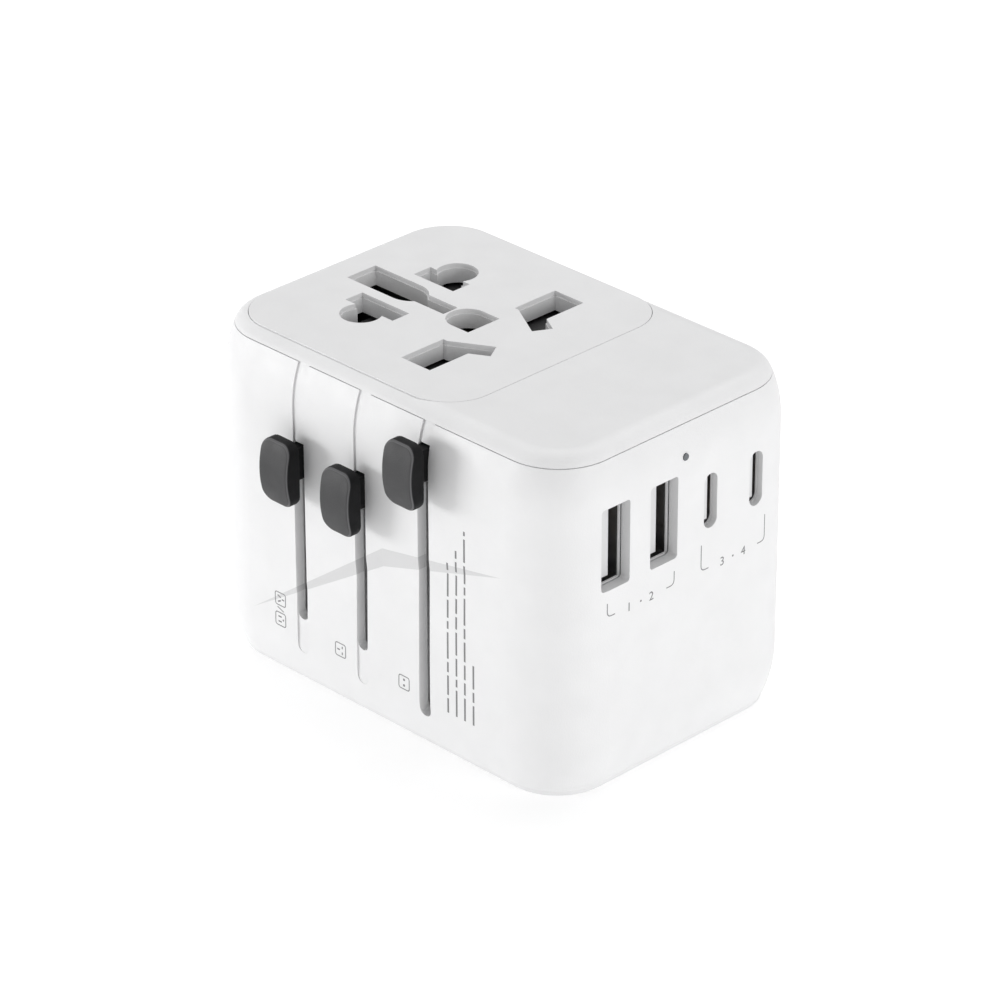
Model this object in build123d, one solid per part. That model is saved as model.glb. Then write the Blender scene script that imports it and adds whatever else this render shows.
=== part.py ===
"""Universal travel adapter: white housing with a multi-country socket panel on top, three pin
carriages that slide out of the base on side knobs, and four charging ports on the end face.

Frame: millimetres, origin at the centre of the flat base face, +Z up, +X towards the charging
ports, -Y towards the slider face. Everything is stored with the three carriages drawn in.
"""

import os
from math import asin, cos, degrees, radians, sin

from build123d import *

os.makedirs("parts", exist_ok=True)

# ---------------------------------------------------------------- driving dimensions
# Outer body
HALF_LENGTH = 36.24
HALF_WIDTH = 25.02
HEIGHT = 53.1
CORNER_R = 10.1
WALL = 1.7

# Outer profile, counted from the top: lid edge arc, then a large shoulder arc down to the wall
LID_ARC_R = 3.0
SHOULDER_R = 17.2
SEAM_ANGLE = 22.7
# Outer profile at the base: a large arc, then a small one, then the step to the base plate
FLANK_R = 19.4
FLANK_ANGLE = 20.0
HEEL_R = 3.95
HEEL_ANGLE = 34.0
BASE_RIM = 0.8
BASE_STEP = 0.15
BASE_PLATE_T = 2.4

# Top cover and socket panel
COVER_T = 3.0
PANEL_X = (-32.77, 12.43)
PANEL_HALF_WIDTH = 22.1
PANEL_R = 7.2
PANEL_GAP = 0.09
PANEL_LEDGE = 1.1
PANEL_LEDGE_T = 1.0
HOLE_LEAD_T = 0.75
HOLE_LEAD = 0.14

# Plug positions on the socket panel, and of the pins under it
MAINS_X = -1.47
MAINS_Y = 11.1
EARTH_X = MAINS_X - 22.2
EURO_X = -18.47
EURO_Y = 9.5
BLADE_SLOT_Y = 6.36
GROUND_X = -6.67
SLANT_X = -0.02
SLANT_Y = 6.79
SLANT = 29.6

# Sliders: slot centre lines, knob heights and travels
US_SLOT_X = -15.12
UK_SLOT_X = -2.67
EU_SLOT_X = 10.03
SLOT_W = 2.2
GROOVE_DEPTH = 0.25
GROOVE_END = 5.4
SHORT_TRAVEL = 22.6
EU_TRAVEL = 37.0
LOW_KNOB_Z = 36.4
EU_KNOB_Z = 45.35
KNOB_PRESS = 1.2

# Pin carriages
DECK_BOTTOM = 25.4
DECK_TOP = 29.6
BARREL_X = -12.97
BARREL_Y = 6.35
BARREL_R = 4.8
BARREL_NECK_R = 4.0
EU_BLOCK_X = (4.23, 15.83)
EU_BLOCK_HALF = 17.5
EU_BLOCK_Z = (19.4, 44.0)

# Shutter
SHUTTER_Z = (48.6, 49.7)
SHUTTER_TRAVEL = 6.7

# Charging ports: centre lines on the end face
A_PORTS_Y = (-13.95, -4.55)
A_PORT_Z = 38.35
A_OPENING = (5.4, 12.65)
C_PORTS_Y = (4.72, 13.9)
C_PORT_Z = 38.42
C_OPENING = (2.62, 8.45)
SHELL_FRONT = HALF_LENGTH - WALL - 0.35
C_SHELL_FRONT = HALF_LENGTH - 1.04
C_SHELL_BACK = HALF_LENGTH - 9.25
C_SHELL = (2.56, 8.34)
C_SHELL_T = 0.3
LIGHT_Y = -0.3
LIGHT_Z = 46.95
BOARD_Z = (29.6, 31.2)

INNER_WALL_Y = -(HALF_WIDTH - WALL)
SEAM_WALL = 1.15

# Fasteners
SCREW_X = 29.4
SCREW_Y = 18.2
SCREW_HEAD_R = 1.6
SCREW_R = 0.8
BOARD_SCREW_X = 22.6
BOARD_SCREW_Y = 19.2


# ---------------------------------------------------------------- helpers
def block(x0, x1, y0, y1, z0, z1):
    """Box between two opposite corners."""
    size = Box(x1 - x0, y1 - y0, z1 - z0)
    return Pos((x0 + x1) / 2, (y0 + y1) / 2, (z0 + z1) / 2) * size


def upright(x, y, r, z0, z1):
    """Vertical cylinder."""
    return Pos(x, y, (z0 + z1) / 2) * Cylinder(r, z1 - z0)


def lengthwise(y, z, r, x0, x1):
    """Cylinder along X."""
    return Pos((x0 + x1) / 2, y, z) * Rot(0, 90, 0) * Cylinder(r, x1 - x0)


def crosswise(x, z, r, y0, y1):
    """Cylinder along Y."""
    return Pos(x, (y0 + y1) / 2, z) * Rot(90, 0, 0) * Cylinder(r, y1 - y0)


def stadium(y, z, w, h, x0, x1):
    """Round-ended prism along X, taller than wide."""
    face = Plane.YZ * SlotOverall(h, w, rotation=90)
    return Pos(x0, y, z) * extrude(face, x1 - x0)


def slab(x0, x1, half, r, z0, z1):
    """Plate with rounded plan corners, centred on Y = 0."""
    plan = Pos((x0 + x1) / 2, 0, z0) * RectangleRounded(x1 - x0, 2 * half, r)
    return extrude(plan, z1 - z0)


def prism(points, z0, z1):
    """Upright prism on a polygon."""
    face = make_face(Polyline(*points, close=True))
    return Pos(0, 0, z0) * extrude(face, z1 - z0)


def mirrored(shape):
    """The shape together with its mirror image across Y = 0."""
    return [shape, mirror(shape, about=Plane.XZ)]


def swept_rim(edges, centre_span=None):
    """Sweep a profile round the body's plan outline.

    The profile's X is measured outwards from the corner axes and its Y is height. centre_span
    is the height range of the flat middle block of a profile that reaches X = 0.
    """
    ax = HALF_LENGTH - CORNER_R
    ay = HALF_WIDTH - CORNER_R
    face = Plane.XZ * make_face(edges)
    corner = revolve(face, Axis.Z, 90)
    pieces = []
    for turn, (sx, sy) in ((0, (1, 1)), (90, (-1, 1)), (180, (-1, -1)), (270, (1, -1))):
        pieces.append(Pos(sx * ax, sy * ay, 0) * Rot(0, 0, turn) * corner)
    end = extrude(face, 2 * ay, dir=(0, 1, 0))
    side = extrude(face, 2 * ax, dir=(0, 1, 0))
    pieces.append(Pos(ax, -ay, 0) * end)
    pieces.append(Pos(-ax, ay, 0) * Rot(0, 0, 180) * end)
    pieces.append(Pos(ax, ay, 0) * Rot(0, 0, 90) * side)
    pieces.append(Pos(-ax, -ay, 0) * Rot(0, 0, 270) * side)
    if centre_span:
        pieces.append(block(-ax, ax, -ay, ay, *centre_span))
    whole = pieces[0]
    for piece in pieces[1:]:
        whole = whole + piece
    return whole.clean()


def coil(r, wire, length, turns):
    """Helical spring along +Z from the origin, with round wire."""
    path = Helix(pitch=(length - wire) / turns, height=length - wire, radius=r)
    start = path @ 0
    section = Plane(origin=start, z_dir=path % 0) * Circle(wire / 2)
    return Pos(0, 0, wire / 2) * sweep(section, path=path)


def save(shape, name):
    """Write one node, as a single solid or a group of solids."""
    shapes = shape if isinstance(shape, list) else [shape]
    solids = [solid for piece in shapes for solid in piece.solids()]
    body = solids[0] if len(solids) == 1 else Compound(children=solids)
    export_step(body, f"parts/{name}.step")


# ---------------------------------------------------------------- outer profile
seam_r = CORNER_R - SHOULDER_R * (1 - cos(radians(SEAM_ANGLE)))
lid_centre = (seam_r - LID_ARC_R * cos(radians(SEAM_ANGLE)), HEIGHT - LID_ARC_R)
seam_z = lid_centre[1] + LID_ARC_R * sin(radians(SEAM_ANGLE))
shoulder_z = seam_z - SHOULDER_R * sin(radians(SEAM_ANGLE))
heel_drop = HEEL_R * (sin(radians(HEEL_ANGLE)) - sin(radians(FLANK_ANGLE)))
heel_inset = HEEL_R * (cos(radians(FLANK_ANGLE)) - cos(radians(HEEL_ANGLE)))
flank_drop = FLANK_R * sin(radians(FLANK_ANGLE))
flank_inset = FLANK_R * (1 - cos(radians(FLANK_ANGLE)))
flank_z = BASE_RIM + heel_drop + flank_drop
foot_r = CORNER_R - flank_inset - heel_inset
heel_top = (CORNER_R - flank_inset, BASE_RIM + heel_drop)
heel_centre = (
    heel_top[0] - HEEL_R * cos(radians(FLANK_ANGLE)),
    heel_top[1] + HEEL_R * sin(radians(FLANK_ANGLE)),
)


def arc(centre, r, a0, a1):
    """Profile arc about a centre, between two angles in degrees."""
    turns = [radians(a) for a in (a0, (a0 + a1) / 2, a1)]
    return ThreePointArc(*[(centre[0] + r * cos(t), centre[1] + r * sin(t)) for t in turns])


def housing_shell():
    """Closed ring of wall between the base plate and the lid seam."""
    heel = arc(heel_centre, HEEL_R, -HEEL_ANGLE, -FLANK_ANGLE)
    flank = arc((CORNER_R - FLANK_R, flank_z), FLANK_R, -FLANK_ANGLE, 0)
    shoulder = arc((CORNER_R - SHOULDER_R, shoulder_z), SHOULDER_R, 0, SEAM_ANGLE)
    upright_line = Line(flank @ 1, shoulder @ 0)
    inner = Polyline(
        shoulder @ 1,
        (seam_r - SEAM_WALL, seam_z),
        (CORNER_R - WALL, shoulder_z + 1.0),
        (CORNER_R - WALL, flank_z - 1.5),
        (foot_r - WALL - 0.1, BASE_RIM),
        heel @ 0,
    )
    return swept_rim([heel, flank, upright_line, shoulder, inner])


def crease():
    """Shallow facet across the slider face: a very flat pyramid sunk into the wall."""
    left = (-25.3, 9.2)
    peak = (1.77, 29.05)
    right = (25.1, 33.4)
    low = (6.0, 8.6)
    deep = (1.72, 26.1)
    depth = 0.26
    y = -HALF_WIDTH
    outline = [(p[0], y, p[1]) for p in (left, peak, right, low)]
    apex = (deep[0], y + depth, deep[1])
    faces = [make_face(Polyline(*outline, close=True))]
    for i, a in enumerate(outline):
        b = outline[(i + 1) % len(outline)]
        faces.append(make_face(Polyline(a, b, apex, close=True)))
    return Solid(Shell(faces))


# ---------------------------------------------------------------- main housing
def main_housing():
    shell = housing_shell()
    shell -= crease()

    # Slider slots with their shallow grooves
    for x, low, knob_z in (
        (US_SLOT_X, 10.9, LOW_KNOB_Z),
        (UK_SLOT_X, 10.9, LOW_KNOB_Z),
        (EU_SLOT_X, GROOVE_END, EU_KNOB_Z),
    ):
        half = SLOT_W / 2
        outside, floor_y = -HALF_WIDTH - 1, -HALF_WIDTH + GROOVE_DEPTH
        groove = block(x - half, x + half, outside, floor_y, GROOVE_END + half, shoulder_z)
        groove += crosswise(x, GROOVE_END + half, half, outside, floor_y)
        shell -= groove
        # Above the shoulder line the groove floor follows the rounded wall
        centre_y = -(HALF_WIDTH - SHOULDER_R)
        floor_r = SHOULDER_R - GROOVE_DEPTH
        shell -= crosswise_ring(centre_y, shoulder_z, floor_r, SHOULDER_R + 1.0, x - half, x + half)
        top = knob_z + 2.9
        slot = block(x - half, x + half, outside, INNER_WALL_Y + 1, low + half, top)
        slot += crosswise(x, low + half, half, outside, INNER_WALL_Y + 1)
        shell -= slot

    # Guide ribs each side of the knob arms
    for x in (US_SLOT_X, UK_SLOT_X, EU_SLOT_X):
        for side in (-1, 1):
            rib_x = x + side * 4.1
            shell += block(rib_x - 0.5, rib_x + 0.5, INNER_WALL_Y - 0.4, -18.6, 4.0, 49.8)
    shell -= block(EU_SLOT_X - 3.0, EU_SLOT_X + 3.0, INNER_WALL_Y, -21.0, 41.0, 49.4)

    # Windows for the charging ports and the status light
    for y in A_PORTS_Y:
        window = RectangleRounded(A_OPENING[0], A_OPENING[1], 0.55)
        shell -= Pos(HALF_LENGTH - 3, y, A_PORT_Z) * extrude(Plane.YZ * window, 5)
    for y in C_PORTS_Y:
        shell -= stadium(y, C_PORT_Z, *C_OPENING, HALF_LENGTH - 3, HALF_LENGTH + 1)
        room = 2 * C_SHELL_T + 0.16
        pocket = (C_SHELL[0] + room, C_SHELL[1] + room)
        shell -= stadium(y, C_PORT_Z, *pocket, HALF_LENGTH - 3, C_SHELL_FRONT + 0.05)
    shell -= lengthwise(LIGHT_Y, LIGHT_Z, 0.55, HALF_LENGTH - 3, HALF_LENGTH + 1)

    # Screw bosses in the corners and a ledge under the circuit board
    for sx in (-1, 1):
        for sy in (-1, 1):
            x, y = sx * SCREW_X, sy * SCREW_Y
            shell += upright(x, y, 1.75, BASE_PLATE_T + 0.05, 15.0)
            shell += Pos(x + sx * 2.4, y, 11.0) * Box(4.8, 1.0, 8.0)
            shell -= upright(x, y, SCREW_R, BASE_PLATE_T - 1, 13.5)
    shell += block(33.0, HALF_LENGTH - WALL + 0.4, -9.0, 9.0, BOARD_Z[0] - 1.8, BOARD_Z[0])
    return shell


def crosswise_ring(y, z, r_in, r_out, x0, x1):
    """Quarter of a tube along X, on the -Y side and above its centre line."""
    tube = lengthwise(y, z, r_out, x0, x1) - lengthwise(y, z, r_in, x0 - 1, x1 + 1)
    keep = block(x0 - 1, x1 + 1, y - r_out - 1, y, z, z + r_out)
    return tube & keep


# ---------------------------------------------------------------- top cover
def top_cover():
    rise = 0.12
    edge_angle = degrees(asin((seam_z + rise - lid_centre[1]) / LID_ARC_R))
    lid = arc(lid_centre, LID_ARC_R, edge_angle, 90)
    step_r = seam_r - 0.55
    spigot_r = seam_r - SEAM_WALL - 0.12
    under = HEIGHT - COVER_T
    outline = Polyline(
        lid @ 1,
        (0, HEIGHT),
        (0, under),
        (spigot_r, under),
        (spigot_r, seam_z),
        (step_r, seam_z),
        (step_r, seam_z + rise),
        lid @ 0,
    )
    cover = swept_rim([lid, outline], (under, HEIGHT))
    x0, x1 = PANEL_X
    cover -= slab(x0, x1, PANEL_HALF_WIDTH, PANEL_R, under + PANEL_LEDGE_T, HEIGHT + 1)
    cover -= slab(
        x0 + PANEL_LEDGE, x1 - PANEL_LEDGE, PANEL_HALF_WIDTH - PANEL_LEDGE, PANEL_R - PANEL_LEDGE,
        under - 1, under + PANEL_LEDGE_T + 0.5,
    )
    # Hollow under the plain end of the cover
    cover -= slab(15.5, 32.5, 20.0, 4.0, under - 1, under + 1.2)
    # Posts that carry the circuit board, and the stop for the shutter spring
    for sy in (-1, 1):
        cover += upright(BOARD_SCREW_X, sy * BOARD_SCREW_Y, 2.2, BOARD_Z[1], under + 1.3)
        cover -= upright(BOARD_SCREW_X, sy * BOARD_SCREW_Y, 0.75, BOARD_Z[1] - 1, BOARD_Z[1] + 6)
    cover += block(14.2, 15.4, -3.0, 3.0, 44.6, under + 0.2)
    return cover


# ---------------------------------------------------------------- socket panel
def socket_holes(grow):
    """Plan faces of every socket hole, widened by grow on all sides."""
    g = grow
    faces = []
    # UK line and neutral
    for sy in (-1, 1):
        faces.append(Pos(MAINS_X, sy * MAINS_Y) * Rectangle(5.42 + 2 * g, 7.85 + 2 * g))
    # UK earth, rounded at its inner end, with a narrow neck that stops short of the US ground
    earth = Pos(-24.2, 0) * Rectangle(8.26 + 2 * g, 5.36 + 2 * g)
    nose = make_face([
        Line((-20.3, -2.68 - g), (-20.3, 2.68 + g)),
        Line((-20.3, 2.68 + g), (-18.9, 2.68 + g)),
        ThreePointArc((-18.9, 2.68 + g), (-17.2 + g, 2.2 + g), (-16.1 + g, 1.3 + g)),
        Line((-16.1 + g, 1.3 + g), (-16.1 + g, -1.3 - g)),
        ThreePointArc((-16.1 + g, -1.3 - g), (-17.2 + g, -2.2 - g), (-18.9, -2.68 - g)),
        Line((-18.9, -2.68 - g), (-20.3, -2.68 - g)),
    ])
    neck = Pos(-13.6, 0) * Rectangle(6.8 + 2 * g, 2.6 + 2 * g)
    faces += [earth, nose, neck]
    # US ground: round with a flat end
    r = 2.98 + g
    faces.append(Pos(GROUND_X, 0) * Circle(r))
    faces.append(Pos((GROUND_X - 3.50) / 2 + g / 2, 0) * Rectangle(-3.50 - GROUND_X + g, 2 * r))
    # US line and neutral blades, the neutral one longer
    faces.append(Pos(-18.44, BLADE_SLOT_Y) * Rectangle(7.78 + 2 * g, 3.04 + 2 * g))
    faces.append(Pos(-18.41, -BLADE_SLOT_Y) * Rectangle(9.42 + 2 * g, 3.04 + 2 * g))
    # European round pins and Australian slanted blades
    for sy in (-1, 1):
        faces.append(Pos(EURO_X, sy * EURO_Y) * Circle(2.95 + g))
        slanted = Pos(SLANT_X, sy * SLANT_Y) * Rot(0, 0, -sy * SLANT)
        faces.append(slanted * Rectangle(7.7 + 2 * g, 2.78 + 2 * g))
    return faces


def cut_holes(body, grow, z0, z1):
    for face in socket_holes(grow):
        body -= Pos(0, 0, z0) * extrude(face, z1 - z0)
    return body


def socket_panel():
    x0, x1 = PANEL_X
    gap = PANEL_GAP
    under = HEIGHT - COVER_T
    lip = under + PANEL_LEDGE_T
    panel = slab(x0 + gap, x1 - gap, PANEL_HALF_WIDTH - gap, PANEL_R - gap, lip, HEIGHT)
    inset = PANEL_LEDGE + gap
    panel += slab(x0 + inset, x1 - inset, PANEL_HALF_WIDTH - inset, PANEL_R - inset, under, lip)
    panel = cut_holes(panel, 0.0, under - 1, HEIGHT - HOLE_LEAD_T)
    return cut_holes(panel, HOLE_LEAD, HEIGHT - HOLE_LEAD_T, HEIGHT + 1)


# ---------------------------------------------------------------- base plate
def base_plate():
    rim_r = foot_r - BASE_STEP
    spigot_r = foot_r - WALL - 0.25
    rim = [
        Polyline((0, 0), (rim_r - 0.15, 0), (rim_r, 0.15), (rim_r, BASE_RIM), (spigot_r, BASE_RIM),
                 (spigot_r, BASE_PLATE_T), (0, BASE_PLATE_T), (0, 0))
    ]
    plate = swept_rim(rim, (0, BASE_PLATE_T))
    z0, z1 = -1, BASE_PLATE_T + 1
    for sy in (-1, 1):
        plate -= upright(BARREL_X, sy * BARREL_Y, BARREL_R + 0.2, z0, z1)
        plate -= block(MAINS_X - 2.3, MAINS_X + 2.3, sy * MAINS_Y - 3.48, sy * MAINS_Y + 3.48, z0, z1)
    plate -= block(EARTH_X - 4.3, EARTH_X + 4.3, -2.3, 2.3, z0, z1)
    x0, x1 = EU_BLOCK_X
    plate -= slab(x0 - 0.3, x1 + 0.3, EU_BLOCK_HALF + 0.3, 5.5, z0, z1)
    for sx in (-1, 1):
        for sy in (-1, 1):
            plate -= upright(sx * SCREW_X, sy * SCREW_Y, SCREW_R + 0.15, z0, z1)
            plate -= upright(sx * SCREW_X, sy * SCREW_Y, SCREW_HEAD_R + 0.1, z0, 1.2)
    return plate


def screw(x, y, head_z, tip_z, head_r, shank_r, head_t):
    """Pan-head screw pointing up, with a cross recess in its head."""
    body = upright(x, y, head_r, head_z, head_z + head_t)
    body += upright(x, y, shank_r, head_z + head_t, tip_z)
    for turn in (0, 90):
        body -= Pos(x, y, head_z) * Rot(0, 0, turn) * Box(1.3 * head_r, 0.45, 1.0 * head_t)
    return body


# ---------------------------------------------------------------- contact carrier and contacts
CARRIER_FLOOR = 33.0


def contact_carrier():
    body = slab(-31.5, 2.9, 16.8, 3.0, 31.4, 48.2)
    for sy in (-1, 1):
        for x0, x1, y0, y1 in (
            (-24.2, -13.0, 4.4, 13.0),
            (-14.0, -4.0, 8.6, 12.4),
            (-5.0, 4.0, 6.6, 15.6),
            (-1.0, 4.0, 3.2, 8.0),
        ):
            ya, yb = sorted((sy * y0, sy * y1))
            body -= block(x0, x1, ya, yb, CARRIER_FLOOR, 50)
    body -= block(-28.9, -2.4, -3.3, 3.3, CARRIER_FLOOR, 50)
    body -= block(-28.9, -18.6, -2.9, 2.9, 30, 50)
    return body


def mains_contact():
    """Sprung jaws for one pole's pins, on the +Y side."""
    z0, z1 = CARRIER_FLOOR, 45.0
    t = 0.5
    jaws = block(-23.5, 0.9, 9.0, 12.0, z0, z0 + t)
    jaws += block(-23.5, -13.6, 4.6, 12.7, z0, z0 + t)
    jaws += block(-23.5, -13.6, 4.6, 4.6 + t, z0, z1)
    jaws += block(-23.5, -13.6, 12.7 - t, 12.7, z0, z1)
    jaws += block(-4.3, 1.4, 7.6, 14.6, z0, z0 + t)
    jaws += block(-4.3, -4.3 + t, 7.6, 14.6, z0, z1)
    jaws += block(0.9, 1.4, 7.6, 14.6, z0, z1)
    return jaws


def earth_contact():
    z0, z1 = CARRIER_FLOOR, 45.0
    strip = block(-28.4, -2.9, 2.6, 3.1, z0, z1) + block(-28.4, -2.9, -3.1, -2.6, z0, z1)
    strip += block(-3.4, -2.9, -3.1, 3.1, z0, z1)
    return strip


def supply_bar(side):
    """Flat bar from a mains contact to the circuit board, along the back wall."""
    if side > 0:
        bar = block(1.4, 3.6, 13.8, 14.5, 38.0, 41.0) + block(3.0, 3.6, 14.5, 21.1, 38.0, 41.0)
        bar += block(3.6, 19.4, 20.4, 21.1, 38.0, 41.0)
        return bar + block(18.6, 19.4, 20.4, 21.1, 29.0, 38.0)
    bar = block(1.4, 3.6, -14.5, -13.8, 33.6, 35.2) + block(3.0, 3.6, -13.8, 18.8, 33.6, 35.2)
    bar += block(3.6, 19.2, 18.2, 18.8, 33.6, 35.2)
    return bar + block(18.4, 19.2, 18.2, 18.8, BOARD_Z[1], 33.6)


# ---------------------------------------------------------------- shutter
def shutter_plate():
    z0, z1 = SHUTTER_Z
    back = SHUTTER_TRAVEL
    plate = slab(-31.4, 4.0, 16.2, 2.0, z0, z1)
    plate -= block(-40.0, -3.2, -3.3, 3.3, z0 - 1, z1 + 1)
    for sy in (-1, 1):
        y0, y1 = sorted((sy * 6.9, sy * 15.3))
        plate -= block(-4.38 - back, 1.44 - back, y0, y1, z0 - 1, z1 + 1)
        y0, y1 = sorted((sy * 4.6, sy * 12.7))
        plate -= block(-21.9 - back, -14.9 - back, y0, y1, z0 - 1, z1 + 1)
        arm = Pos(SLANT_X - back, sy * SLANT_Y, z0 - 1) * Rot(0, 0, -sy * SLANT) * Rectangle(7.9, 3.0)
        plate -= extrude(arm, z1 - z0 + 2)
    return plate + block(3.2, 4.0, -2.4, 2.4, 44.9, z0 + 0.1)


# ---------------------------------------------------------------- knobs
def knob_arm(x, z_low, knob_z):
    """Upright arm of a carriage that carries the sprung knob."""
    arm = block(x - 3.2, x + 3.2, -20.6, -17.9, z_low, knob_z + 3.5)
    arm -= crosswise(x, knob_z, 2.1, -22, -19.2)
    arm -= crosswise(x, knob_z, 1.08, -20, -17)
    return arm


def knob(x, z, flange_drop):
    """Finger knob: a cap with a convex front, on a flat neck with an inner flange and a stem.

    flange_drop is how far the flange reaches below the knob's centre.
    """
    cap_w = 5.8
    back_y = -27.4
    edge_y = -29.05
    front_y = -30.05
    low = z - 5.25
    high = z + 4.75
    side = make_face([
        Line((back_y, low), (edge_y, low)),
        ThreePointArc((edge_y, low), (front_y, (low + high) / 2), (edge_y, high)),
        Line((edge_y, high), (back_y, high)),
        Line((back_y, high), (back_y, low)),
    ])
    cap = Pos(x - cap_w / 2, 0, 0) * extrude(Plane.YZ * side, cap_w)
    cap = fillet(cap.edges().filter_by(Axis.Y), 1.7)
    front = cap.faces().sort_by(Axis.Y)[0]
    cap = fillet(front.edges(), 0.35)
    neck = block(x - 1.0, x + 1.0, back_y - 0.3, -22.0, z - 2.65, z + 2.65)
    neck = fillet(neck.edges().filter_by(Axis.Y).sort_by(Axis.Z)[:2], 0.9)
    flange = block(x - 2.6, x + 2.6, -23.0, -22.0, z - flange_drop, z + 3.4)
    stem = crosswise(x, z, 1.0, -22.1, -18.7)
    return cap + neck + flange + stem


def knob_spring(x, z):
    return Pos(x, -19.2, z) * Rot(90, 0, 0) * coil(1.55, 0.3, 2.8, 3)


# ---------------------------------------------------------------- US / Australian carriage
def us_carriage():
    deck = block(-18.9, -7.1, -18.0, 12.4, DECK_BOTTOM, DECK_TOP)
    deck = fillet(deck.edges().filter_by(Axis.Z).sort_by(Axis.Y)[-2:], 4.0)
    deck += knob_arm(US_SLOT_X, DECK_BOTTOM, LOW_KNOB_Z)
    for sy in (-1, 1):
        deck -= upright(BARREL_X, sy * BARREL_Y, BARREL_NECK_R + 0.06, DECK_BOTTOM - 1, DECK_TOP + 1)
    return deck


BLADE_W = 6.35
BLADE_T = 1.5
BLADE_TIP = SHORT_TRAVEL - 17.5


def blade_space(y, z0, z1):
    """Box with the blade's width and thickness, round the middle of a barrel."""
    return Pos(BARREL_X, y, (z0 + z1) / 2) * Box(BLADE_W, BLADE_T, z1 - z0)


def us_blade(y):
    body = blade_space(y, BLADE_TIP, 31.0)
    tip = body.edges().filter_by(Axis.Y).sort_by(Axis.Z)[:2]
    body = fillet(tip, 1.4)
    return chamfer(body.faces().sort_by(Axis.Z)[0].edges().filter_by(Axis.X), 0.45)


def us_barrel(y):
    body = upright(BARREL_X, y, BARREL_R, SHORT_TRAVEL, DECK_BOTTOM - 0.1)
    body += upright(BARREL_X, y, BARREL_NECK_R, DECK_BOTTOM - 0.2, DECK_TOP + 0.2)
    body += upright(BARREL_X, y, BARREL_R - 0.2, DECK_TOP + 0.1, DECK_TOP + 1.0)
    return body - blade_space(y, 20.0, 32.0)


# ---------------------------------------------------------------- UK carriage
UK_PIN_TIP = SHORT_TRAVEL - 17.7
UK_EARTH_TIP = 0.3
SLEEVE_LOW = SHORT_TRAVEL - 9.5


def uk_carriage():
    deck = block(-6.2, 2.9, -18.0, 15.9, DECK_BOTTOM, DECK_TOP)
    deck += block(-28.9, -6.0, 13.0, 15.9, DECK_BOTTOM, DECK_TOP)
    deck += block(-28.9, -19.4, -3.6, 13.1, DECK_BOTTOM, DECK_TOP)
    deck += knob_arm(UK_SLOT_X, DECK_BOTTOM, LOW_KNOB_Z)
    for sy in (-1, 1):
        deck -= block(MAINS_X - 2, MAINS_X + 2, sy * MAINS_Y - 3.175, sy * MAINS_Y + 3.175, 20, 35)
    deck -= block(EARTH_X - 4, EARTH_X + 4, -2, 2, 20, 35)
    return deck


def flat_pin(x, y, half_x, half_y, tip, top):
    """Rectangular plug pin with a bevelled tip."""
    body = block(x - half_x, x + half_x, y - half_y, y + half_y, tip, top)
    return chamfer(body.faces().sort_by(Axis.Z)[0].edges(), 0.9)


def uk_mains_pin(y):
    pin = flat_pin(MAINS_X, y, 2.0, 3.175, UK_PIN_TIP, DECK_TOP)
    ring = block(MAINS_X - 3, MAINS_X + 3, y - 4, y + 4, SLEEVE_LOW, DECK_BOTTOM)
    core = block(MAINS_X - 1.5, MAINS_X + 1.5, y - 2.675, y + 2.675, SLEEVE_LOW - 1, DECK_BOTTOM + 1)
    return pin - (ring - core)


def uk_sleeve(y):
    outer = block(MAINS_X - 2.0, MAINS_X + 2.0, y - 3.175, y + 3.175, SLEEVE_LOW, DECK_BOTTOM)
    return outer - block(MAINS_X - 1.5, MAINS_X + 1.5, y - 2.675, y + 2.675, 10, 30)


# ---------------------------------------------------------------- European block
EU_PIN_TIP = 0.4
EU_SLEEVE_LOW = 9.4


def eu_block():
    x0, x1 = EU_BLOCK_X
    z0, z1 = EU_BLOCK_Z
    body = slab(x0, x1, EU_BLOCK_HALF, 5.2, z0, z1)
    body = chamfer(body.faces().sort_by(Axis.Z)[0].edges(), 0.4)
    body -= slab(x0 + 1.6, x1 - 1.6, EU_BLOCK_HALF - 1.6, 3.6, z0 + 4.0, z1 + 1)
    body += block(EU_SLOT_X - 3.2, EU_SLOT_X + 3.2, -18.0, -16.2, z1 - 3.0, EU_KNOB_Z + 3.5)
    body += knob_arm(EU_SLOT_X, z1 - 3.0, EU_KNOB_Z)
    body -= crosswise(EU_SLOT_X, EU_KNOB_Z, 1.08, -20, -15)
    for sy in (-1, 1):
        body -= upright(EU_SLOT_X, sy * EURO_Y, 1.5, z0 - 1, z0 + 5)
    return body


def eu_pin(y):
    pin = upright(EU_SLOT_X, y, 2.0, EU_PIN_TIP + 2.0, EU_SLEEVE_LOW)
    pin += Pos(EU_SLOT_X, y, EU_PIN_TIP + 2.0) * Sphere(2.0)
    pin += upright(EU_SLOT_X, y, 1.5, EU_SLEEVE_LOW - 0.1, EU_BLOCK_Z[0] + 5.0)
    return pin


def eu_sleeve(y):
    sleeve = upright(EU_SLOT_X, y, 1.8, EU_SLEEVE_LOW, EU_BLOCK_Z[0])
    return sleeve - upright(EU_SLOT_X, y, 1.5, 8, 21)


# ---------------------------------------------------------------- charging module
def circuit_board():
    board = slab(-34.1, 34.1, 22.9, 8.0, *BOARD_Z) & block(17.8, 40.0, -30, 30, 20, 40)
    for sy in (-1, 1):
        board -= upright(BOARD_SCREW_X, sy * BOARD_SCREW_Y, 1.1, 20, 40)
    board -= block(18.5, 19.5, 20.2, 21.2, 20, 40)
    return board


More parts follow.
